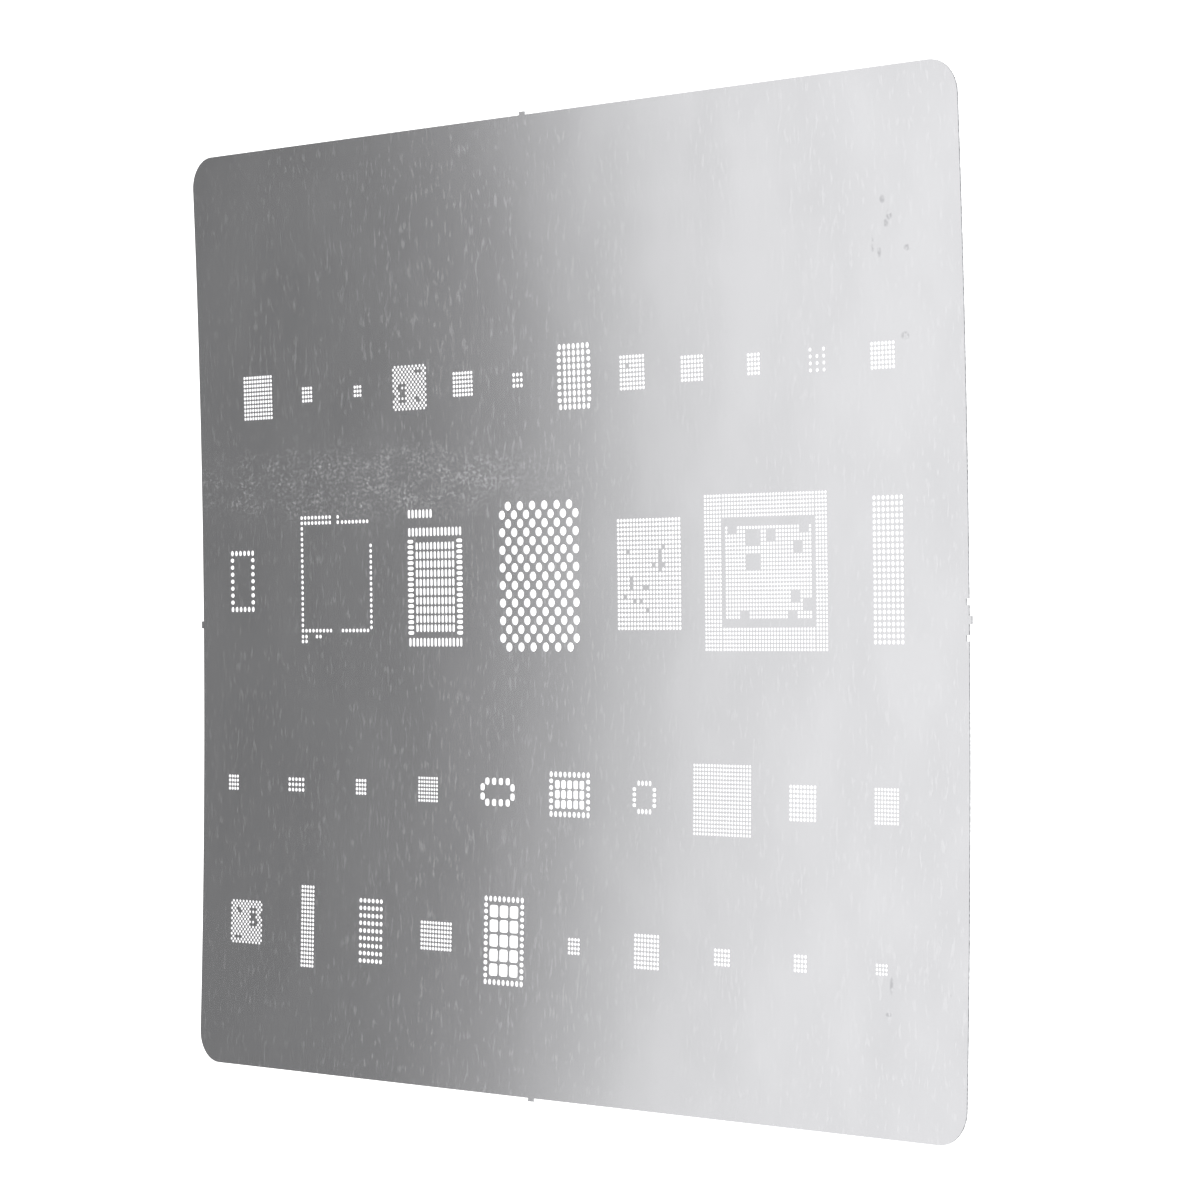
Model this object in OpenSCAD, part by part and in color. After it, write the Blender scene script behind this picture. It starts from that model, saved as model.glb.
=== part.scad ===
// Solder paste stencil: one thin sheet of stainless steel with the ball and pad
// patterns of 39 chips cut right through it, in four rows.
// The sheet lies face up. X runs across it, Y towards its top edge and Z up.
// The origin is on the surface that it lies on, under the middle of the sheet.

/* [Sheet] */
// Width of the sheet
sheet_w = 99.5; // [94:0.5:120]
// Depth of the sheet
sheet_d = 89.5; // [80:0.5:110]
// Thickness of the sheet
sheet_t = 0.12; // [0.08:0.01:0.3]
// Radius of the four corners
corner_r = 3; // [1:0.5:5]
// How far the top and bottom edges curl up above the middle
bow = 1; // [0.5:0.1:2]

/* [Break-off tabs] */
// Width of a tab stub
tab_w = 0.7; // [0.4:0.1:1.5]
// How far a tab stub stands out of the edge
tab_out = 0.3; // [0.1:0.05:0.6]
// Distance of the top and bottom stubs from the middle, to the left
tab_left = 2; // [0:0.5:20]
// Distance of the side stubs from the middle, to the bottom
tab_down = 1.5; // [0:0.5:20]
// Depth of the two nicks beside the right stub
nick_in = 0.3; // [0.1:0.05:0.5]
// Distance from the right stub to each nick
nick_gap = 1.5; // [1:0.1:4]

/* [Rows of chip sites] */
// Place of the first row, up from the middle
row_1_y = 20.7; // [19:0.1:22]
// Place of the second row, up from the middle
row_2_y = 2.75; // [2:0.05:4]
// Place of the third row, up from the middle
row_3_y = -17.05; // [-18:0.05:-15]
// Place of the fourth row, up from the middle
row_4_y = -30.7; // [-33:0.1:-29]
// Spacing of the sites in the first row
row_1_step = 7.41; // [7:0.01:7.8]
// Spacing of the sites in the second row
row_2_step = 14.1; // [14:0.1:14.6]
// Spacing of the sites in the third row
row_3_step = 9.53; // [9.3:0.01:9.8]
// Spacing of the sites in the fourth row
row_4_step = 9.24; // [9:0.01:9.6]

/* [Ball patterns] */
// Pitch of the common ball patterns
ball_pitch = 0.4; // [0.36:0.01:0.42]
// Aperture of the common ball patterns
ball_d = 0.32; // [0.2:0.01:0.34]
// Pitch of the fine ball patterns
fine_pitch = 0.352; // [0.33:0.001:0.36]
// Aperture of the fine ball patterns
fine_d = 0.27; // [0.18:0.01:0.3]
// Pitch of the coarse ball patterns
coarse_pitch = 0.505; // [0.45:0.005:0.52]
// Aperture of the coarse ball patterns
coarse_d = 0.36; // [0.25:0.01:0.42]
// Spacing of the rows in the memory's diagonal pattern
diagonal_step = 0.25; // [0.24:0.005:0.26]
// Spacing of the rows in the storage chip's diagonal pattern
storage_step = 0.808; // [0.75:0.001:0.83]
// Aperture of the storage chip's pattern
storage_d = 0.82; // [0.5:0.01:0.9]

/* [Pad patterns] */
// Width of a small pad
pad_w = 0.4; // [0.25:0.01:0.44]
// Length of a small pad
pad_l = 0.54; // [0.45:0.01:0.6]
// Pitch of the power chip's long pads
long_pitch = 0.505; // [0.45:0.005:0.52]
// Width of a long pad
long_w = 0.32; // [0.2:0.01:0.38]
// Length of a long pad
long_l = 0.84; // [0.7:0.01:0.88]
// Width of a heat pad
heat_w = 1.12; // [0.8:0.01:1.2]
// Corner radius of a heat pad
heat_r = 0.2; // [0.1:0.05:0.3]

/* [How much is cut] */
// Patterns with more balls than this are dense
dense_count = 120; // [100:10:500]
// Rows and columns cut in a dense pattern: 2 is every second one
dense_step = 2; // [2:1:4]

/* [Hidden] */

bow_steps = 15;                // flat steps that make up the curve; the middle one is what it lies on
bow_r = (sheet_d * sheet_d / 4 + bow * bow) / (2 * bow);
cut_low = -1;                  // the cuts run from below the sheet to above it
cut_h = bow + sheet_t + 2;
facets = 16;
nick_w = 0.5;
row_2_x = -1.3;                // middle of each row, to the right of the sheet's middle
row_3_x = -2.2;
row_4_x = -1.35;

// Balls left out of a pattern, as [column, row] from its top left corner.
memory_voids = [[13, 2], [15, 2], [4, 7], [6, 7], [3, 8], [4, 9], [6, 9], [5, 10],
                [0, 11], [4, 11], [6, 11], [13, 12], [4, 13], [6, 13], [14, 13]];
modem_voids = [[14, 6], [3, 7], [13, 7], [13, 8], [13, 9], [11, 10], [13, 10], [14, 10], [13, 11],
               [4, 13], [4, 14], [4, 15], [8, 15], [9, 15], [2, 17], [5, 18], [7, 18], [9, 20]];

// Empty blocks inside the processor's pattern, as [column, row, columns, rows].
processor_blocks = [[8, 8, 3, 2], [32, 8, 3, 2], [14, 9, 5, 4], [14, 15, 5, 4], [21, 9, 3, 3],
                    [30, 12, 3, 3], [29, 24, 3, 3], [33, 26, 3, 3], [28, 29, 3, 2], [12, 29, 3, 2]];

// Height of the curved underside at a distance y from the middle.
function rise(y) = bow_r - sqrt(bow_r * bow_r - y * y);

// Distance of copy i of n from the middle of its line.
function place(i, n, pitch) = (i - (n - 1) / 2) * pitch;

// Step between the balls that are cut, for a pattern of n balls.
function step_for(n) = n > dense_count ? dense_step : 1;

function is_void(voids, i, j) = len([for (v = voids) if (v == [i, j]) v]) > 0;

function in_block(b, i, j) = i >= b[0] && i < b[0] + b[2] && j >= b[1] && j < b[1] + b[3];

// One round aperture.
module ball(d) {
    translate([0, 0, cut_low])
        cylinder(d = d, h = cut_h, $fn = facets);
}

// One aperture with round ends, w wide and l long along Y.
module pad(w, l) {
    translate([0, 0, cut_low])
        linear_extrude(height = cut_h)
            union() {
                square([w, l - w], center = true);
                for (side = [-1, 1])
                    translate([0, side * (l - w) / 2])
                        circle(d = w, $fn = facets);
            }
}

// One square aperture with rounded corners.
module square_pad(w, l, r) {
    translate([0, 0, cut_low])
        linear_extrude(height = cut_h)
            union() {
                square([w, l - 2 * r], center = true);
                square([w - 2 * r, l], center = true);
                for (x = [-1, 1], y = [-1, 1])
                    translate([x * (w / 2 - r), y * (l / 2 - r)])
                        circle(r = r, $fn = facets);
            }
}

// Copies of one aperture on a grid.
module pad_grid(cols, rows, pitch_x, pitch_y) {
    for (i = [0 : cols - 1], j = [0 : rows - 1])
        translate([place(i, cols, pitch_x), place(j, rows, pitch_y), 0])
            children();
}

// A ring of pads: tall ones along the top and the bottom, wide ones down the sides between them.
module pad_ring(cols, rows, pitch_x, pitch_y, w, l) {
    pad_grid(cols, 2, pitch_x, (rows - 1) * pitch_y)
        pad(w, l);
    pad_grid(2, rows - 2, (cols - 1) * pitch_x, pitch_y)
        rotate([0, 0, 90])
            pad(w, l);
}

// Balls on a square grid, less those left out.
module ball_grid(cols, rows, pitch, d, voids = []) {
    step = step_for(cols * rows);
    for (i = [0 : step : cols - 1], j = [0 : step : rows - 1])
        if (!is_void(voids, i, j))
            translate([place(i, cols, pitch), -place(j, rows, pitch), 0])
                ball(d);
}

// Balls on a diagonal grid, where every other place of each row is used.
module diagonal_grid(cols, rows, pitch, d, first, voids = []) {
    step = step_for(cols * rows / 2);
    for (i = [0 : cols - 1], j = [0 : step : rows - 1])
        if ((i + j) % (2 * step) == first && !is_void(voids, i, j))
            translate([place(i, cols, pitch), -place(j, rows, pitch), 0])
                ball(d);
}

// Memory chip: a diagonal pattern with balls left out in four places.
module memory_site() {
    diagonal_grid(19, 17, diagonal_step, fine_d, 1, memory_voids);
}

// Radio chip: seven columns of pads, the outer two wider and set apart.
module radio_site() {
    rows = 10;
    pitch_x = 0.6;
    pitch_y = 0.605;
    side_span = 3.82;          // between the wide pads at the two sides
    corner_span = 3.6;
    pad_grid(5, rows, pitch_x, pitch_y)
        pad(pad_w, pad_l);
    pad_grid(2, rows - 2, side_span, pitch_y)
        rotate([0, 0, 90])
            pad(pad_w, pad_l);
    pad_grid(2, 2, corner_span, (rows - 1) * pitch_y)
        pad(pad_w, pad_l);
}

// Small module: three wide-spaced columns, with the top one in the middle left out.
module wide_site() {
    cols = 3;
    rows = 4;
    pitch_x = 0.78;
    pitch_y = 0.59;
    for (i = [0 : cols - 1], j = [0 : rows - 1])
        if (!is_void([[1, 0]], i, j))
            translate([place(i, cols, pitch_x), -place(j, rows, pitch_y), 0])
                ball(ball_d);
}

// Frame of a shielded module: lines of pads along its sides, open at the right of the top.
module frame_site() {
    p = 0.52;                  // pitch along the lines
    left = -5.03;
    right = 5.02;
    low = -4.88;
    high = low + 20 * p;
    for (j = [0 : 20])
        translate([left, low + j * p, 0])
            ball(coarse_d);
    for (j = [0 : 15])
        translate([right, low + (j + 0.55) * p, 0])
            ball(coarse_d);
    for (i = [1 : 8]) {
        translate([left + i * p, low, 0])
            ball(coarse_d);
        translate([left + i * p, high, 0])
            ball(coarse_d);
    }
    for (i = [0 : 8])
        translate([left + i * p, high + p, 0])
            ball(coarse_d);
    for (i = [0 : 7]) {
        translate([right - (i + 0.95) * p, low, 0])
            ball(coarse_d);
        translate([right - (i + 0.85) * p, high, 0])
            ball(coarse_d);
    }
    for (j = [0, 1])
        translate([left + 10.25 * p, high + j * p, 0])
            ball(coarse_d);
    for (i = [0, 1, 4, 5])
        translate([left + i * p, low - 1.1 * p, 0])
            ball(coarse_d);
    for (i = [0, 1])
        translate([left + i * p, low - 2 * p, 0])
            ball(coarse_d);
}

// Power chip: a ring of long pads round a field of them, with one more line above.
module power_site() {
    ring_y = -0.84;            // middle of the ring
    ring_w = 6.8;
    ring_l = 10.35;
    field_pitch = 0.857;
    field_l = long_l - 0.1;
    line_x = -2.03;
    line_y = 6.05;
    translate([0, ring_y, 0]) {
        pad_grid(15, 2, long_pitch, ring_l)
            pad(long_w, long_l);
        pad_grid(2, 18, ring_w, long_pitch)
            rotate([0, 0, 90])
                pad(long_w, long_l);
        pad_grid(11, 10, long_pitch, field_pitch)
            pad(long_w, field_l);
    }
    translate([line_x, line_y, 0])
        pad_grid(7, 1, long_pitch, 1)
            pad(long_w, long_l);
}

// Processor: a solid band of balls round a field with empty blocks.
module processor_site() {
    cols = 41;
    rows = 39;
    seam = 0.06;               // the side columns stand this much further out
    step = step_for(cols * rows);
    for (i = [0 : step : cols - 1], j = [0 : step : rows - 1]) {
        side = i < 6 ? -1 : i > 36 ? 1 : 0;
        band = side != 0 || j < 6 || j > 32;
        field = i > 6 && i < 36 && j > 7 && j < 31;
        empty = len([for (b = processor_blocks) if (in_block(b, i, j)) b]) > 0;
        if (band || (field && !empty))
            translate([place(i, cols, fine_pitch) + side * seam, -place(j, rows, fine_pitch), 0])
                ball(fine_d);
    }
}

// Crystal: twelve large pads in an oval ring.
module crystal_site() {
    w = 0.56;
    l = 0.64;
    r = 0.18;
    pitch_x = 0.915;
    rows_apart = 1.95;
    ends_apart = 4.02;
    end_pitch = 0.85;
    pad_grid(4, 2, pitch_x, rows_apart)
        square_pad(w, l, r);
    pad_grid(2, 2, ends_apart, end_pitch)
        square_pad(w, l, r);
}

// Charger chip: a ring of pads round fifteen heat pads.
module charger_site() {
    ring_pitch = 0.6;
    inner_w = 0.6;
    inner_l = 0.76;
    inner_r = 0.15;
    inner_pitch_x = 0.795;
    inner_pitch_y = 0.895;
    pad_ring(9, 7, ring_pitch, ring_pitch, pad_w, pad_l);
    pad_grid(5, 3, inner_pitch_x, inner_pitch_y)
        square_pad(inner_w, inner_l, inner_r);
}

// Sensor: four pads along each side, with open corners.
module sensor_site() {
    pitch = 0.475;
    span = 2.51;               // between the pads at opposite sides
    w = 0.32;
    l = 0.48;
    pad_grid(4, 2, pitch, span)
        pad(w, l);
    pad_grid(2, 4, span, pitch)
        rotate([0, 0, 90])
            pad(w, l);
}

// Amplifier: a ring of pads round three columns of square heat pads.
module amplifier_site() {
    ring_pitch_x = 0.605;
    ring_pitch_y = 0.588;
    heat_pitch = 1.345;
    pad_ring(9, 14, ring_pitch_x, ring_pitch_y, pad_w, pad_l);
    pad_grid(3, 5, heat_pitch, heat_pitch)
        square_pad(heat_w, heat_w, heat_r);
}

// Connector: a ring of pads with a little more room between its rows.
module connector_site() {
    pitch_x = 0.625;
    pitch_y = 0.69;
    pad_ring(6, 9, pitch_x, pitch_y, pad_w, pad_l);
}

// Large loose pattern: six columns of larger balls.
module loose_site() {
    pitch_x = 0.586;
    pitch_y = 0.714;
    d = 0.42;
    pad_grid(6, 9, pitch_x, pitch_y)
        ball(d);
}

// Moves the site of number i into its row of n sites.
module in_row(i, n, step, middle = 0) {
    translate([middle + place(i, n, step), 0, 0])
        children();
}

module first_row() {
    in_row(0, 12, row_1_step) ball_grid(11, 11, ball_pitch, ball_d);
    in_row(1, 12, row_1_step) ball_grid(4, 4, ball_pitch, ball_d);
    in_row(2, 12, row_1_step) ball_grid(3, 3, ball_pitch, ball_d);
    in_row(3, 12, row_1_step) memory_site();
    in_row(4, 12, row_1_step) ball_grid(7, 6, ball_pitch, ball_d);
    in_row(5, 12, row_1_step) ball_grid(3, 3, coarse_pitch, coarse_d);
    in_row(6, 12, row_1_step) radio_site();
    in_row(7, 12, row_1_step) ball_grid(8, 8, ball_pitch, ball_d, [[2, 2]]);
    in_row(8, 12, row_1_step) ball_grid(7, 6, ball_pitch, ball_d);
    in_row(9, 12, row_1_step) ball_grid(4, 5, ball_pitch, ball_d);
    in_row(10, 12, row_1_step) wide_site();
    in_row(11, 12, row_1_step) ball_grid(7, 6, ball_pitch, ball_d);
}

module second_row() {
    in_row(0, 7, row_2_step, row_2_x) connector_site();
    in_row(1, 7, row_2_step, row_2_x) frame_site();
    in_row(2, 7, row_2_step, row_2_x) power_site();
    in_row(3, 7, row_2_step, row_2_x) diagonal_grid(13, 17, storage_step, storage_d, 1);
    in_row(4, 7, row_2_step, row_2_x) ball_grid(20, 25, ball_pitch, ball_d, modem_voids);
    in_row(5, 7, row_2_step, row_2_x) processor_site();
    in_row(6, 7, row_2_step, row_2_x) ball_grid(7, 25, coarse_pitch, coarse_d);
}

module third_row() {
    in_row(0, 10, row_3_step, row_3_x) ball_grid(4, 4, ball_pitch, ball_d);
    in_row(1, 10, row_3_step, row_3_x) ball_grid(5, 3, coarse_pitch, coarse_d);
    in_row(2, 10, row_3_step, row_3_x) ball_grid(4, 4, ball_pitch, ball_d);
    in_row(3, 10, row_3_step, row_3_x) ball_grid(8, 7, fine_pitch, fine_d);
    in_row(4, 10, row_3_step, row_3_x) crystal_site();
    in_row(5, 10, row_3_step, row_3_x) charger_site();
    in_row(6, 10, row_3_step, row_3_x) sensor_site();
    in_row(7, 10, row_3_step, row_3_x) ball_grid(20, 18, fine_pitch, fine_d);
    in_row(8, 10, row_3_step, row_3_x) ball_grid(8, 8, ball_pitch, ball_d);
    in_row(9, 10, row_3_step, row_3_x) ball_grid(8, 9, fine_pitch, fine_d);
}

module fourth_row() {
    in_row(0, 10, row_4_step, row_4_x) rotate([0, 0, 180]) memory_site();
    in_row(1, 10, row_4_step, row_4_x) ball_grid(5, 20, ball_pitch, ball_d);
    in_row(2, 10, row_4_step, row_4_x) loose_site();
    in_row(3, 10, row_4_step, row_4_x) ball_grid(11, 7, ball_pitch, ball_d);
    in_row(4, 10, row_4_step, row_4_x) amplifier_site();
    in_row(5, 10, row_4_step, row_4_x) ball_grid(4, 4, ball_pitch, ball_d);
    in_row(6, 10, row_4_step, row_4_x) ball_grid(8, 8, ball_pitch, ball_d);
    in_row(7, 10, row_4_step, row_4_x) ball_grid(5, 4, ball_pitch, ball_d);
    in_row(8, 10, row_4_step, row_4_x) ball_grid(4, 4, ball_pitch, ball_d);
    in_row(9, 10, row_4_step, row_4_x) ball_grid(4, 3, fine_pitch, fine_d);
}

// The sheet's outline: rounded corners, four tab stubs and the nicks beside the right one.
module outline() {
    difference() {
        union() {
            square([sheet_w, sheet_d - 2 * corner_r], center = true);
            square([sheet_w - 2 * corner_r, sheet_d], center = true);
            for (x = [-1, 1], y = [-1, 1])
                translate([x * (sheet_w / 2 - corner_r), y * (sheet_d / 2 - corner_r)])
                    circle(r = corner_r, $fn = 64);
            translate([-tab_left, 0])
                square([tab_w, sheet_d + 2 * tab_out], center = true);
            translate([0, -tab_down])
                square([sheet_w + 2 * tab_out, tab_w], center = true);
        }
        for (side = [-1, 1])
            translate([sheet_w / 2, side * nick_gap - tab_down])
                square([2 * nick_in, nick_w], center = true);
    }
}

// The bowed blank: its end view, a thin arc, carried right across its width.
module bowed_blank() {
    half = sheet_d / 2 + tab_out;
    ys = [for (i = [0 : bow_steps]) -half + 2 * half * i / bow_steps];
    under = [for (y = ys) [y, rise(y)]];
    top = [for (i = [bow_steps : -1 : 0]) [ys[i], rise(ys[i]) + sheet_t]];
    rotate([90, 0, 90])
        linear_extrude(height = sheet_w + 4 * tab_out, center = true)
            polygon(concat(under, top));
}

module stencil_sheet() {
    color("gainsboro")
        difference() {
            intersection() {
                bowed_blank();
                translate([0, 0, cut_low])
                    linear_extrude(height = cut_h)
                        outline();
            }
            translate([0, row_1_y, 0]) first_row();
            translate([0, row_2_y, 0]) second_row();
            translate([0, row_3_y, 0]) third_row();
            translate([0, row_4_y, 0]) fourth_row();
        }
}

stencil_sheet();
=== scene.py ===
import math

import bpy
import numpy as np
from mathutils import Matrix, Vector, geometry


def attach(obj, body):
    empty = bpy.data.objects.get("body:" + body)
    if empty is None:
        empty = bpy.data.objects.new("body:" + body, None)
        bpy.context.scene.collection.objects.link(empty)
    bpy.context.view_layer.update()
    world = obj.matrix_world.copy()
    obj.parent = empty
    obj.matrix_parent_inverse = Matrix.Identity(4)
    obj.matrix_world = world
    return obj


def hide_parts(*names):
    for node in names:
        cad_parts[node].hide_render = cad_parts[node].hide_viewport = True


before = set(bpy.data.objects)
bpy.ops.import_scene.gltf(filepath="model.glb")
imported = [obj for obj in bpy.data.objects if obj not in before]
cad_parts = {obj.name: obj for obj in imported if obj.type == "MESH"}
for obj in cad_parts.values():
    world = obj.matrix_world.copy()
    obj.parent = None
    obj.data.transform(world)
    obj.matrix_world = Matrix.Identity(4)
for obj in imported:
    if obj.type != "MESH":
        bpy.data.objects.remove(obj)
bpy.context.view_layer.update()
scene = bpy.context.scene
print("stage: frame loaded")

# sizes of the sheet in millimetres; the mesh is scaled to metres when it is made
sheet = {
    "width": 99.5,
    "depth": 89.5,
    "thickness": 0.12,
    "cornerRadius": 3.0,
    "bow": 1.0,            # how far the top and bottom edges curl up
    "tabWidth": 0.7,
    "tabOut": 0.3,
    "tabLeft": 2.0,
    "tabDown": 1.5,
    "nickIn": 0.3,
    "nickGap": 1.5,
    "nickWidth": 0.5,
    "gridStep": 2.5,       # spacing of the extra points that carry the bow
    "gridMargin": 1.0,     # from the straight edges to the first of them
    "gridClear": 1.0,      # from the middle of an aperture to the nearest of them
    "cornerClear": 0.4,    # from a rounded corner to the nearest of them
    "cornerSteps": 13,
    "edgeStep": 1.5,       # longest side that the outline may have
    "sharpAngle": 30,
    "ballSides": 8,
    "largeSides": 12,
}

# the four rows: height of the row, middle of the row and spacing of its sites
rows = {
    "first": {"y": 20.7, "middle": 0.0, "step": 7.41, "count": 12},
    "second": {"y": 2.75, "middle": -1.3, "step": 14.1, "count": 7},
    "third": {"y": -17.05, "middle": -2.2, "step": 9.53, "count": 10},
    "fourth": {"y": -30.7, "middle": -1.35, "step": 9.24, "count": 10},
}

# ball patterns: pitch and aperture
balls = {"common": (0.4, 0.32), "fine": (0.352, 0.27), "coarse": (0.505, 0.36)}

# pads: width and length
pads = {"small": (0.4, 0.54), "long": (0.32, 0.84), "field": (0.32, 0.74), "sensor": (0.32, 0.48)}

# softened rectangles: width, length and corner radius
softPads = {"crystal": (0.56, 0.64, 0.18), "charger": (0.6, 0.76, 0.15), "heat": (1.12, 1.12, 0.2)}

# round apertures that belong to one site only: diameter and spacing across and along the sheet
rounds = {"storage": (0.82, 0.808, 0.808), "loose": (0.42, 0.586, 0.714), "wide": (0.32, 0.78, 0.59)}

# spacing of the pads of each site that has them, across and along the sheet
spacing = {
    "diagonal": 0.25,
    "frame": 0.52,
    "radio": (0.6, 0.605), "radioSides": 3.82, "radioCorners": 3.6,
    "power": 0.505, "powerRows": 0.857, "powerEnds": 10.35, "powerSides": 6.8,
    "crystalEnds": (0.915, 1.95), "crystalSides": (4.02, 0.85),
    "charger": (0.6, 0.6), "chargerInner": (0.795, 0.895),
    "sensor": 0.475, "sensorAcross": 2.51,
    "amplifier": (0.605, 0.588), "heat": 1.345,
    "connector": (0.625, 0.69),
}

# empty places of the dense patterns, as (column, line) from the top left

memoryVoids = [(13, 2), (15, 2), (4, 7), (6, 7), (3, 8), (4, 9), (6, 9), (5, 10),
               (0, 11), (4, 11), (6, 11), (13, 12), (4, 13), (6, 13), (14, 13)]
modemVoids = [(14, 6), (3, 7), (13, 7), (13, 8), (13, 9), (11, 10), (13, 10), (14, 10), (13, 11),
              (4, 13), (4, 14), (4, 15), (8, 15), (9, 15), (2, 17), (5, 18), (7, 18), (9, 20)]
# and the processor's empty blocks, as (column, line, width, height)
processorBlocks = [(8, 8, 3, 2), (32, 8, 3, 2), (14, 9, 5, 4), (14, 15, 5, 4), (21, 9, 3, 3),
                   (30, 12, 3, 3), (29, 24, 3, 3), (33, 26, 3, 3), (28, 29, 3, 2), (12, 29, 3, 2)]


def circle(diameter, sides):
    # points at equal angles, on the radius that gives the polygon the circle's own area
    radius = diameter / 2 * math.sqrt(2 * math.pi / (sides * math.sin(2 * math.pi / sides)))
    angle = (np.arange(sides) + 0.5) * 2 * math.pi / sides
    return np.stack([radius * np.cos(angle), radius * np.sin(angle)], axis=1)


def ballShape(kind):
    return circle(balls[kind][1], sheet["ballSides"])


def padShape(width, length):
    # two half circles of the pad's width, joined by straight sides along Y
    angle = np.linspace(0, math.pi, 5)
    half = np.stack([np.cos(angle), np.sin(angle)], axis=1) * width / 2
    upper = half + [0, (length - width) / 2]
    return np.concatenate([upper, -upper])


def softRectangle(width, length, radius, steps=3):
    # a quarter circle at each corner, taken round anticlockwise
    angle = np.linspace(0, math.pi / 2, steps)
    corners = []
    for quarter, (sx, sy) in enumerate([(1, 1), (-1, 1), (-1, -1), (1, -1)]):
        turn = angle + quarter * math.pi / 2
        centre = np.array([sx * (width / 2 - radius), sy * (length / 2 - radius)])
        corners.append(centre + radius * np.stack([np.cos(turn), np.sin(turn)], axis=1))
    return np.concatenate(corners)


def turned(shape):
    # a quarter turn anticlockwise
    return np.stack([-shape[:, 1], shape[:, 0]], axis=1)


def grid(columns, lines, pitchX, pitchY=None, leftOut=()):
    # place of (column, line), from the top left, about the middle of the pattern
    pitchY = pitchX if pitchY is None else pitchY
    i, j = [a.ravel() for a in np.meshgrid(np.arange(columns), np.arange(lines), indexing="ij")]
    keep = np.ones(len(i), bool)
    for column, line in leftOut:
        keep &= ~((i == column) & (j == line))
    x = (i - (columns - 1) / 2) * pitchX
    y = -(j - (lines - 1) / 2) * pitchY
    return np.stack([x, y], axis=1)[keep], i[keep], j[keep]


def ballGrid(columns, lines, kind, leftOut=()):
    return [(ballShape(kind), grid(columns, lines, balls[kind][0], leftOut=leftOut)[0])]


def diagonal(columns, lines, pitch, shape, leftOut=()):
    # every other place of each line, so that the lines stand like bricks
    place, i, j = grid(columns, lines, pitch, leftOut=leftOut)
    return [(shape, place[(i + j) % 2 == 1])]


def ring(columns, lines, pitchX, pitchY, shape):
    # tall pads along the top and the bottom, wide ones down the sides between them
    ends = grid(columns, 2, pitchX, (lines - 1) * pitchY)[0]
    sides = grid(2, lines - 2, (columns - 1) * pitchX, pitchY)[0]
    return [(shape, ends), (turned(shape), sides)]


def memorySite():
    return diagonal(19, 17, spacing["diagonal"], ballShape("fine"), memoryVoids)


def turnedMemorySite():
    return [(shape, -place) for shape, place in memorySite()]


def radioSite():
    small = padShape(*pads["small"])
    across, along = spacing["radio"]
    return [
        (small, grid(5, 10, across, along)[0]),
        (turned(small), grid(2, 8, spacing["radioSides"], along)[0]),
        (small, grid(2, 2, spacing["radioCorners"], 9 * along)[0]),
    ]


def wideSite():
    diameter, across, along = rounds["wide"]
    return [(circle(diameter, sheet["ballSides"]), grid(3, 4, across, along, [(1, 0)])[0])]


def frameSite():
    # lines of balls along the edges of a shield frame, each given by its start, step and count
    p = spacing["frame"]
    left, right, low = -5.03, 5.02, -4.88
    high = low + 20 * p
    lines = [
        (left, low, 0, p, 21), (right, low + 0.55 * p, 0, p, 16),
        (left + p, low, p, 0, 8), (left + p, high, p, 0, 8), (left, high + p, p, 0, 9),
        (right - 0.95 * p, low, -p, 0, 8), (right - 0.85 * p, high, -p, 0, 8),
        (left + 10.25 * p, high, 0, p, 2),
        (left, low - 1.1 * p, p, 0, 2), (left + 4 * p, low - 1.1 * p, p, 0, 2), (left, low - 2 * p, p, 0, 2),
    ]
    place = [np.stack([x + dx * np.arange(n), y + dy * np.arange(n)], axis=1) for x, y, dx, dy, n in lines]
    return [(ballShape("coarse"), np.concatenate(place))]


def powerSite():
    # a ring of long pads round a field of shorter ones, and seven loose pads above its left end
    long = padShape(*pads["long"])
    step = spacing["power"]
    drop, loose = np.array([0, -0.84]), np.array([-2.03, 6.05])
    return [
        (long, grid(15, 2, step, spacing["powerEnds"])[0] + drop),
        (turned(long), grid(2, 18, spacing["powerSides"], step)[0] + drop),
        (padShape(*pads["field"]), grid(11, 10, step, spacing["powerRows"])[0] + drop),
        (long, grid(7, 1, step)[0] + loose),
    ]


def storageSite():
    diameter, step, _ = rounds["storage"]
    return diagonal(13, 17, step, circle(diameter, sheet["largeSides"]))


def processorSite():
    # a solid band six balls wide round a field with empty blocks
    place, i, j = grid(41, 39, balls["fine"][0])
    side = np.where(i < 6, -1, np.where(i > 36, 1, 0))
    band = (side != 0) | (j < 6) | (j > 32)
    field = (i > 6) & (i < 36) & (j > 7) & (j < 31)
    for column, line, wide, tall in processorBlocks:
        field &= ~((i >= column) & (i < column + wide) & (j >= line) & (j < line + tall))
    sideShift = 0.06                           # the band's two sides stand a little further out
    place = place + np.stack([side * sideShift, 0 * side], axis=1)
    return [(ballShape("fine"), place[band | field])]


def crystalSite():
    pad = softRectangle(*softPads["crystal"])
    return [(pad, grid(4, 2, *spacing["crystalEnds"])[0]), (pad, grid(2, 2, *spacing["crystalSides"])[0])]


def chargerSite():
    inner = softRectangle(*softPads["charger"])
    outer = ring(9, 7, *spacing["charger"], padShape(*pads["small"]))
    return outer + [(inner, grid(5, 3, *spacing["chargerInner"])[0])]


def sensorSite():
    pad = padShape(*pads["sensor"])
    step, across = spacing["sensor"], spacing["sensorAcross"]
    return [(pad, grid(4, 2, step, across)[0]), (turned(pad), grid(2, 4, across, step)[0])]


def amplifierSite():
    heat = softRectangle(*softPads["heat"])
    outer = ring(9, 14, *spacing["amplifier"], padShape(*pads["small"]))
    return outer + [(heat, grid(3, 5, spacing["heat"])[0])]


def connectorSite():
    return ring(6, 9, *spacing["connector"], padShape(*pads["small"]))


def looseSite():
    diameter, across, along = rounds["loose"]
    return [(circle(diameter, sheet["ballSides"]), grid(6, 9, across, along)[0])]


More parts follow.
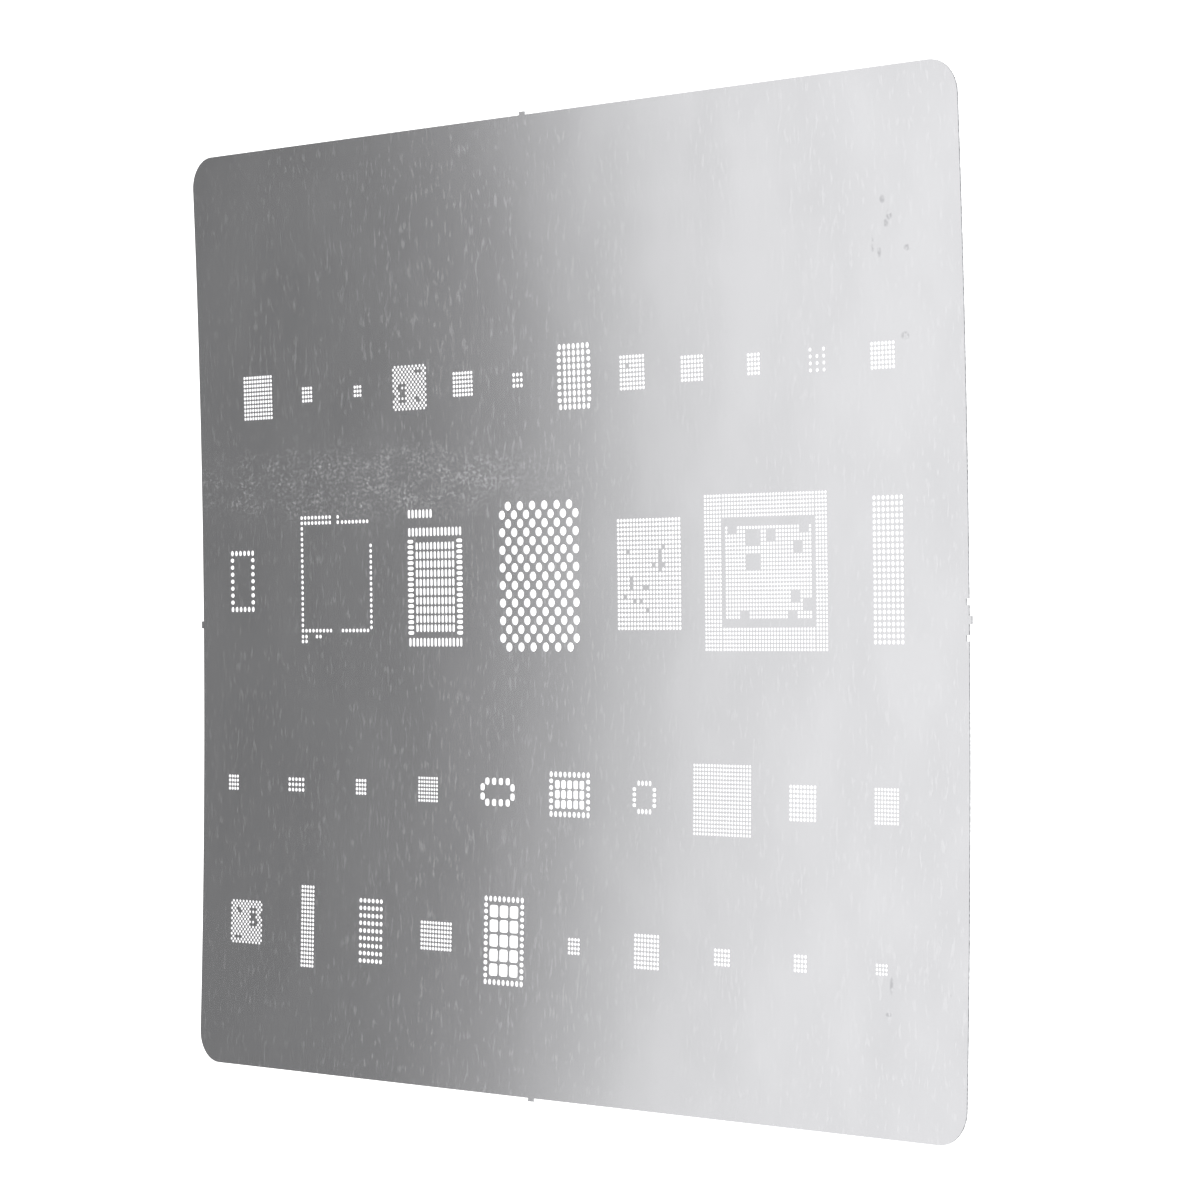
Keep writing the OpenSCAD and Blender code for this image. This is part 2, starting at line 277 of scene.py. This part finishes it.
sites = {
    "first": [
        ballGrid(11, 11, "common"), ballGrid(4, 4, "common"), ballGrid(3, 3, "common"), memorySite(),
        ballGrid(7, 6, "common"), ballGrid(3, 3, "coarse"), radioSite(), ballGrid(8, 8, "common", [(2, 2)]),
        ballGrid(7, 6, "common"), ballGrid(4, 5, "common"), wideSite(), ballGrid(7, 6, "common"),
    ],
    "second": [
        connectorSite(), frameSite(), powerSite(), storageSite(),
        ballGrid(20, 25, "common", modemVoids), processorSite(), ballGrid(7, 25, "coarse"),
    ],
    "third": [
        ballGrid(4, 4, "common"), ballGrid(5, 3, "coarse"), ballGrid(4, 4, "common"), ballGrid(8, 7, "fine"),
        crystalSite(), chargerSite(), sensorSite(), ballGrid(20, 18, "fine"),
        ballGrid(8, 8, "common"), ballGrid(8, 9, "fine"),
    ],
    "fourth": [
        turnedMemorySite(), ballGrid(5, 20, "common"), looseSite(), ballGrid(11, 7, "common"), amplifierSite(),
        ballGrid(4, 4, "common"), ballGrid(8, 8, "common"), ballGrid(5, 4, "common"),
        ballGrid(4, 4, "common"), ballGrid(4, 3, "fine"),
    ],
}


def rise(y):
    # height of the curved underside: the sag of a circle through the middle and both edges
    radius = (sheet["depth"] ** 2 / 4 + sheet["bow"] ** 2) / (2 * sheet["bow"])
    return radius - np.sqrt(radius * radius - y * y)


def outerEdge():
    # the outline, anticlockwise from the right of the bottom edge, with the tab stubs and the nicks
    w, d = sheet["width"] / 2, sheet["depth"] / 2
    r, out, tab = sheet["cornerRadius"], sheet["tabOut"], sheet["tabWidth"] / 2
    left, down = -sheet["tabLeft"], -sheet["tabDown"]
    nick, gap, half = sheet["nickIn"], sheet["nickGap"], sheet["nickWidth"] / 2

    def corner(x, y, start):
        angle = np.radians(np.linspace(start, start + 90, sheet["cornerSteps"]))
        return np.stack([x + r * np.cos(angle), y + r * np.sin(angle)], axis=1)

    def nickAt(y):
        return [(w, y - half), (w - nick, y - half), (w - nick, y + half), (w, y + half)]

    parts = [
        corner(w - r, r - d, 270),
        nickAt(down - gap),
        [(w, down - tab), (w + out, down - tab), (w + out, down + tab), (w, down + tab)],
        nickAt(down + gap),
        corner(w - r, d - r, 0),
        [(left + tab, d), (left + tab, d + out), (left - tab, d + out), (left - tab, d)],
        corner(r - w, d - r, 90),
        [(-w, down + tab), (-w - out, down + tab), (-w - out, down - tab), (-w, down - tab)],
        corner(r - w, r - d, 180),
        [(left - tab, -d), (left - tab, -d - out), (left + tab, -d - out), (left + tab, -d)],
    ]
    corners = np.concatenate([np.array(part, float) for part in parts])

    # long straight edges are divided, so that they follow the bow
    sides = np.roll(corners, -1, axis=0) - corners
    cuts = np.maximum(1, np.ceil(np.hypot(*sides.T) / sheet["edgeStep"])).astype(int)
    start = np.repeat(np.arange(len(corners)), cuts)
    part = np.arange(cuts.sum()) - np.repeat(np.cumsum(cuts) - cuts, cuts)
    return corners[start] + sides[start] * (part / cuts[start])[:, None]


def apertures():
    # each shape moved to each of its places: one array of outlines for every shape of every site
    found = []
    for name, row in rows.items():
        for number, site in enumerate(sites[name]):
            x = row["middle"] + (number - (row["count"] - 1) / 2) * row["step"]
            for shape, place in site:
                found.append(place[:, None, :] + shape[None, :, :] + np.array([x, row["y"]]))
    return found


def loopEdges(first, count, length):
    # edges of loops that follow each other, each closed on its own first point
    index = first + np.arange(count * length).reshape(count, length)
    return np.stack([index, np.roll(index, -1, axis=1)], axis=2).reshape(-1, 2)


def insideOutline(x, y):
    # inside the straight edges or in a tab stub, and in neither nick
    within = (abs(x) < sheet["width"] / 2) & (abs(y) < sheet["depth"] / 2)
    stub = (abs(x + sheet["tabLeft"]) < sheet["tabWidth"] / 2) | (abs(y + sheet["tabDown"]) < sheet["tabWidth"] / 2)
    nick = abs(abs(y + sheet["tabDown"]) - sheet["nickGap"]) < sheet["nickWidth"] / 2
    return (within | stub) & ~((x > sheet["width"] / 2 - sheet["nickIn"]) & nick)


def makeSheet():
    outline = outerEdge()
    groups = apertures()
    points, edges, owner = [outline], [loopEdges(0, 1, len(outline))], [np.full(len(outline), -1)]
    total, hole = len(outline), 0
    for group in groups:
        count, length = group.shape[:2]
        points.append(group.reshape(-1, 2))
        edges.append(loopEdges(total, count, length))
        owner.append(np.repeat(np.arange(hole, hole + count), length))
        total += count * length
        hole += count
    holeEdges = np.concatenate(edges[1:])
    middles = np.concatenate([group.mean(axis=1) for group in groups])

    # extra points between the patterns carry the bow
    halfSize = np.array([sheet["width"], sheet["depth"]]) / 2
    lines = [np.linspace(sheet["gridMargin"] - half, half - sheet["gridMargin"], round(2 * half / sheet["gridStep"]))
             for half in halfSize]
    extra = np.stack([a.ravel() for a in np.meshgrid(*lines)], axis=1)
    apart = np.sqrt(((extra[:, None, :] - middles[None, :, :]) ** 2).sum(axis=2)).min(axis=1)
    radius = sheet["cornerRadius"]
    beyond = np.maximum(abs(extra) - halfSize + radius, 0)
    inside = np.hypot(*beyond.T) < radius - sheet["cornerClear"]
    extra = extra[(apart > sheet["gridClear"]) & inside]
    points.append(extra)
    owner.append(np.full(len(extra), -2))

    flat = np.concatenate(points).round(6)     # points on a straight edge stay exactly in line
    owner = np.concatenate(owner)
    joined = np.concatenate(edges)
    made = geometry.delaunay_2d_cdt([Vector(p) for p in flat], joined.tolist(), [], 1, 1e-6, False)
    triangles = np.array(made[2])
    assert len(made[0]) == len(flat), "the outlines touch each other"
    inHole = (owner[triangles] == owner[triangles[:, :1]]).all(axis=1) & (owner[triangles[:, 0]] >= 0)
    triangles = triangles[~inHole & insideOutline(*flat[triangles].mean(axis=1).T)]

    # the flat net is lifted onto the bow twice, and walls join the two along every edge
    count = len(flat)
    z = rise(flat[:, 1])
    top = np.column_stack([flat, z + sheet["thickness"]])
    low = np.column_stack([flat, z])
    a, b = holeEdges[:, 0], holeEdges[:, 1]
    c, d = edges[0][:, 0], edges[0][:, 1]
    walls = np.concatenate([
        np.stack([a, b, b + count, a + count], axis=1),
        np.stack([c + count, d + count, d, c], axis=1),
    ])
    vertices = np.concatenate([top, low]) / 1000
    faces = triangles.tolist() + (triangles[:, ::-1] + count).tolist() + walls.tolist()
    mesh = bpy.data.meshes.new("etched_sheet")
    mesh.from_pydata(vertices.tolist(), [], faces)
    mesh.polygons.foreach_set("use_smooth", np.ones(len(faces), bool))
    onRim = np.arange(len(faces)) >= len(faces) - len(edges[0])     # the outer walls come last
    mesh.polygons.foreach_set("material_index", onRim.astype(np.int32))
    mesh.update()
    mesh.set_sharp_from_angle(angle=math.radians(sheet["sharpAngle"]))
    print(f"stage: sheet made, {hole} apertures, {2 * len(triangles) + 2 * len(walls)} triangles")
    piece = bpy.data.objects.new("etched_sheet", mesh)
    scene.collection.objects.link(piece)
    return piece


def linear(hexColour):
    # sRGB hex to linear light: the lower part is a straight line, the rest a power of 2.4
    value = np.array([int(hexColour[k:k + 2], 16) for k in (1, 3, 5)]) / 255
    low = value / 12.92
    high = ((value + 0.055) / 1.055) ** 2.4
    return (*np.where(value <= 0.04045, low, high).tolist(), 1.0)


def add(tree, kind, settings=None, links=None):
    # adds one node: settings are sockets or properties, links come from outputs of other nodes,
    # and a socket that shares its name with another goes by its number
    node = tree.nodes.new(kind)
    for name, value in (settings or {}).items():
        if isinstance(name, int) or name in node.inputs:
            node.inputs[name].default_value = value
        else:
            setattr(node, name, value)
    for name, output in (links or {}).items():
        tree.links.new(output, node.inputs[name])
    return node


def material(name):
    made = bpy.data.materials.new(name)
    made.use_nodes = True
    made.node_tree.nodes.clear()
    return made, made.node_tree


# what a user would change about the steel; sizes are widths and lengths in millimetres
steel = {
    "colour": "#cfcfd1",
    "cloudColour": "#c9c9cb",
    "cloudSize": (9.0, 14.0),
    "roughness": 0.155,
    "grainSize": (0.32, 2.6),          # rolling lines are some 0.02 wide; drawn coarser, so that they show
    "grainRelief": 0.00009,
    "grainRoughness": 0.006,
    "fleckSize": (0.36, 1.3),          # short ticks left by the rolls: rougher, so they show where the room is dark
    "fleckColour": "#d3d3d5",
    "fleckRoughness": 0.035,
    "scuffPlace": (-30.0, 11.9),       # a band that was rubbed above the second row
    "scuffReach": (44.0, 4.9),
    "scuffSize": (0.4, 0.3),
    "scuffGaps": (3.2, 1.5),
    "scuffColour": "#d9d9db",
    "scuffRoughness": 0.115,
    "smudgeColour": "#a0a0a3",         # dried marks near the right edge, each a place and a reach
    "smudges": [
        ((41.2, 33.7), (0.4, 0.45)), ((41.9, 32.3), (0.45, 0.6)), ((41.5, 31.7), (0.4, 0.45)),
        ((40.0, 30.0), (0.25, 0.9)), ((40.7, 29.4), (0.3, 0.7)), ((43.8, 29.5), (0.5, 0.35)),
        ((43.4, 22.2), (0.7, 0.45)), ((41.4, -32.0), (0.3, 1.1)), ((41.1, -34.4), (0.45, 0.25)),
        ((47.9, -32.3), (0.2, 0.2)),
    ],
    "smudgeRagged": (0.5, 0.5),
    "edgeColour": "#5b5b5e",
    "edgeMarks": (0.3, 0.3),
    "edgeRoughness": 0.45,
}


def inMillimetres(tree):
    # the place on the sheet, a thousand times its value in metres
    place = add(tree, "ShaderNodeTexCoord").outputs["Object"]
    return add(tree, "ShaderNodeVectorMath", {
        "operation": "SCALE", "Scale": 1000.0}, {"Vector": place}).outputs["Vector"]


def cells(tree, mm, size, span, to=(0.0, 1.0), start=0.0):
    # uneven cells of one width and length; the part of their strength that span gives is spread over to
    at = add(tree, "ShaderNodeMapping", {
        "Location": (start, start, 0.0), "Scale": (1 / size[0], 1 / size[1], 1.0)}, {"Vector": mm})
    made = add(tree, "ShaderNodeTexNoise", {
        "Scale": 1.0, "Detail": 2.0, "Roughness": 0.55}, {"Vector": at.outputs["Vector"]})
    return add(tree, "ShaderNodeMapRange", {
        "From Min": span[0], "From Max": span[1], "To Min": to[0], "To Max": to[1]},
        {"Value": made.outputs["Fac"]}).outputs["Result"]


def patch(tree, mm, place, reach):
    # 1 round the middle of an ellipse, falling smoothly to 0 at its rim
    at = add(tree, "ShaderNodeMapping", {
        "Location": (-place[0] / reach[0], -place[1] / reach[1], 0.0),
        "Scale": (1 / reach[0], 1 / reach[1], 0.0)}, {"Vector": mm})
    apart = add(tree, "ShaderNodeVectorMath", {"operation": "LENGTH"}, {"Vector": at.outputs["Vector"]})
    return add(tree, "ShaderNodeMapRange", {
        "interpolation_type": "SMOOTHSTEP", "From Min": 0.3, "From Max": 1.0, "To Min": 1.0, "To Max": 0.0},
        {"Value": apart.outputs["Value"]}).outputs["Result"]


def stainlessSheet():
    # cold-rolled stainless steel, as rolled: a bright satin that mirrors the room softly,
    # with faint lines and ticks along its depth, one rubbed band and a few dried marks
    made, tree = material("cold_rolled_stainless")
    mm = inMillimetres(tree)

    cloud = cells(tree, mm, steel["cloudSize"], (0.35, 0.65))
    grain = cells(tree, mm, steel["grainSize"], (0.3, 0.7), start=7.3)
    fleck = cells(tree, mm, steel["fleckSize"], (0.57, 0.7), start=2.9)

    # the rubbed band: short strokes, broken up by larger gaps, inside a long ellipse
    band = patch(tree, mm, steel["scuffPlace"], steel["scuffReach"])
    strokes = cells(tree, mm, steel["scuffSize"], (0.46, 0.7), start=3.1)
    gaps = cells(tree, mm, steel["scuffGaps"], (0.3, 0.6), start=1.7)
    scuff = add(tree, "ShaderNodeMath", {"operation": "MULTIPLY"}, {0: band, 1: strokes}).outputs["Value"]
    scuff = add(tree, "ShaderNodeMath", {"operation": "MULTIPLY"}, {0: scuff, 1: gaps}).outputs["Value"]

    smudge = None
    for centre, reach in steel["smudges"]:
        one = patch(tree, mm, centre, reach)
        smudge = one if smudge is None else add(
            tree, "ShaderNodeMath", {"operation": "MAXIMUM"}, {0: smudge, 1: one}).outputs["Value"]
    ragged = cells(tree, mm, steel["smudgeRagged"], (0.36, 0.56), (0.0, 0.6), start=5.5)
    smudge = add(tree, "ShaderNodeMath", {"operation": "MULTIPLY"}, {0: smudge, 1: ragged}).outputs["Value"]

    # colour: each layer over the one before
    colour = add(tree, "ShaderNodeMix", {
        "data_type": "RGBA", 6: linear(steel["colour"]), 7: linear(steel["cloudColour"])}, {0: cloud}).outputs[2]
    for amount, name in [(fleck, "fleckColour"), (scuff, "scuffColour"), (smudge, "smudgeColour")]:
        colour = add(tree, "ShaderNodeMix", {
            "data_type": "RGBA", 7: linear(steel[name])}, {0: amount, 6: colour}).outputs[2]

    # roughness: the steel's own, a little either way with the grain, more in the rubbed band
    rough = add(tree, "ShaderNodeMath", {
        "operation": "MULTIPLY_ADD", 1: steel["grainRoughness"], 2: steel["roughness"]}, {0: grain}).outputs["Value"]
    for amount, name in [(fleck, "fleckRoughness"), (scuff, "scuffRoughness")]:
        rough = add(tree, "ShaderNodeMath", {
            "operation": "MULTIPLY_ADD", 1: steel[name]}, {0: amount, 2: rough}).outputs["Value"]
    relief = add(tree, "ShaderNodeBump", {
        "Strength": 1.0, "Distance": steel["grainRelief"] / 1000}, {"Height": grain})
    surface = add(tree, "ShaderNodeBsdfPrincipled", {"Metallic": 1.0}, {
        "Base Color": colour, "Roughness": rough, "Normal": relief.outputs["Normal"]})
    add(tree, "ShaderNodeOutputMaterial", links={"Surface": surface.outputs["BSDF"]})
    return made


def cutEdge():
    # the outer edge as the laser left it: dull and dark beside the bright face
    made, tree = material("laser_cut_edge")
    mm = inMillimetres(tree)
    mark = cells(tree, mm, steel["edgeMarks"], (0.35, 0.65))
    colour = add(tree, "ShaderNodeMix", {
        "data_type": "RGBA", 6: linear(steel["edgeColour"]), 7: linear(steel["smudgeColour"])}, {0: mark}).outputs[2]
    surface = add(tree, "ShaderNodeBsdfPrincipled", {
        "Metallic": 1.0, "Roughness": steel["edgeRoughness"]}, {"Base Color": colour})
    add(tree, "ShaderNodeOutputMaterial", links={"Surface": surface.outputs["BSDF"]})
    return made


stagePieces = {
    "floorColour": "#5c5c5c",
    "floorGlowColour": "#ffffff",
    "floorGlow": 1.5,
    "floorSize": 6.0,
    "floorDrop": 0.00002,
    "world": "#ffffff",
    "worldStrength": 1.28,
    "lampPlace": (0.1, 0.0, 1.6),
    "lampSize": (0.8, 0.8),
    "lampPower": 1.5,
    "cardPlace": (-0.60, 0.010, 0.30),   # a grey card that the steel mirrors, left of the sheet
    "cardReach": (0.42, 0.295),
    "cardColour": "#8a8a8a",
    "cardSides": 64,
}


def makeFloor():
    size = stagePieces["floorSize"] / 2
    low = -stagePieces["floorDrop"]
    corners = [(-size, -size, low), (size, -size, low), (size, size, low), (-size, size, low)]
    mesh = bpy.data.meshes.new("floor")
    mesh.from_pydata(corners, [], [(0, 1, 2, 3)])
    floor = bpy.data.objects.new("floor", mesh)
    scene.collection.objects.link(floor)
    # opal board, lit from below as on a light table, so that the floor is pale under the sheet too
    made, tree = material("opal_board")
    surface = add(tree, "ShaderNodeBsdfPrincipled", {
        "Base Color": linear(stagePieces["floorColour"]), "Roughness": 1.0, "Specular IOR Level": 0.0,
        "Emission Color": linear(stagePieces["floorGlowColour"]), "Emission Strength": stagePieces["floorGlow"]})
    add(tree, "ShaderNodeOutputMaterial", links={"Surface": surface.outputs["BSDF"]})
    mesh.materials.append(made)


def makeCard():
    # an upright oval, seen in the steel and nowhere else: its points go round an ellipse at equal angles
    sides = stagePieces["cardSides"]
    angle = np.arange(sides) * 2 * math.pi / sides
    cx, cy, cz = stagePieces["cardPlace"]
    wide, high = stagePieces["cardReach"]
    rim = np.column_stack([np.full(sides, cx), cy + wide * np.cos(angle), cz + high * np.sin(angle)])
    mesh = bpy.data.meshes.new("grey_card")
    mesh.from_pydata(rim.tolist(), [], [list(range(sides))])
    card = bpy.data.objects.new("grey_card", mesh)
    scene.collection.objects.link(card)
    made, tree = material("grey_card")
    glow = add(tree, "ShaderNodeEmission", {"Color": linear(stagePieces["cardColour"]), "Strength": 1.0})
    add(tree, "ShaderNodeOutputMaterial", links={"Surface": glow.outputs["Emission"]})
    mesh.materials.append(made)
    card.visible_camera = False
    card.visible_diffuse = False
    card.visible_shadow = False


def makeWorld():
    world = bpy.data.worlds.new("studio")
    world.use_nodes = True
    world.node_tree.nodes["Background"].inputs["Color"].default_value = linear(stagePieces["world"])
    world.node_tree.nodes["Background"].inputs["Strength"].default_value = stagePieces["worldStrength"]
    scene.world = world


def softBox(name, place, target, size, power):
    # a rectangular soft box that faces its target
    light = bpy.data.lights.new(name, "AREA")
    light.shape = "RECTANGLE"
    light.size, light.size_y = size
    light.energy = power
    lamp = bpy.data.objects.new(name, light)
    aim = (Vector(target) - Vector(place)).to_track_quat("-Z", "Y")
    lamp.matrix_world = Matrix.Translation(place) @ aim.to_matrix().to_4x4()
    scene.collection.objects.link(lamp)
    return lamp


# the camera looks down on the sheet from its right, 45 degrees off the upright
view = {
    "place": (0.26445, -0.00044, 0.25353),
    "right": (0.7009, -0.0093, -0.7132),
    "up": (0.0084, 1.0, -0.0048),
    "back": (0.7132, -0.0026, 0.7009),
    "lens": 120.97,
    "sensor": 36.0,
    "near": 0.01,
    "far": 20.0,
}


def makeCamera():
    data = bpy.data.cameras.new("camera")
    data.lens = view["lens"]
    data.sensor_width = view["sensor"]
    data.clip_start = view["near"]
    data.clip_end = view["far"]
    camera = bpy.data.objects.new("camera", data)
    axes = Matrix((view["right"], view["up"], view["back"])).transposed().to_4x4()
    camera.matrix_world = Matrix.Translation(view["place"]) @ axes
    scene.collection.objects.link(camera)
    scene.camera = camera


makeCamera()
makeFloor()
makeCard()
makeWorld()
softBox("ceiling_box", stagePieces["lampPlace"], (0, 0, 0), stagePieces["lampSize"], stagePieces["lampPower"])
print("stage: camera, floor and light made")

sheetPiece = makeSheet()
sheetPiece.data.materials.append(stainlessSheet())
sheetPiece.data.materials.append(cutEdge())
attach(sheetPiece, "root")
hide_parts("stencil_sheet")

scene.view_settings.view_transform = "Standard"
print("stage: done")
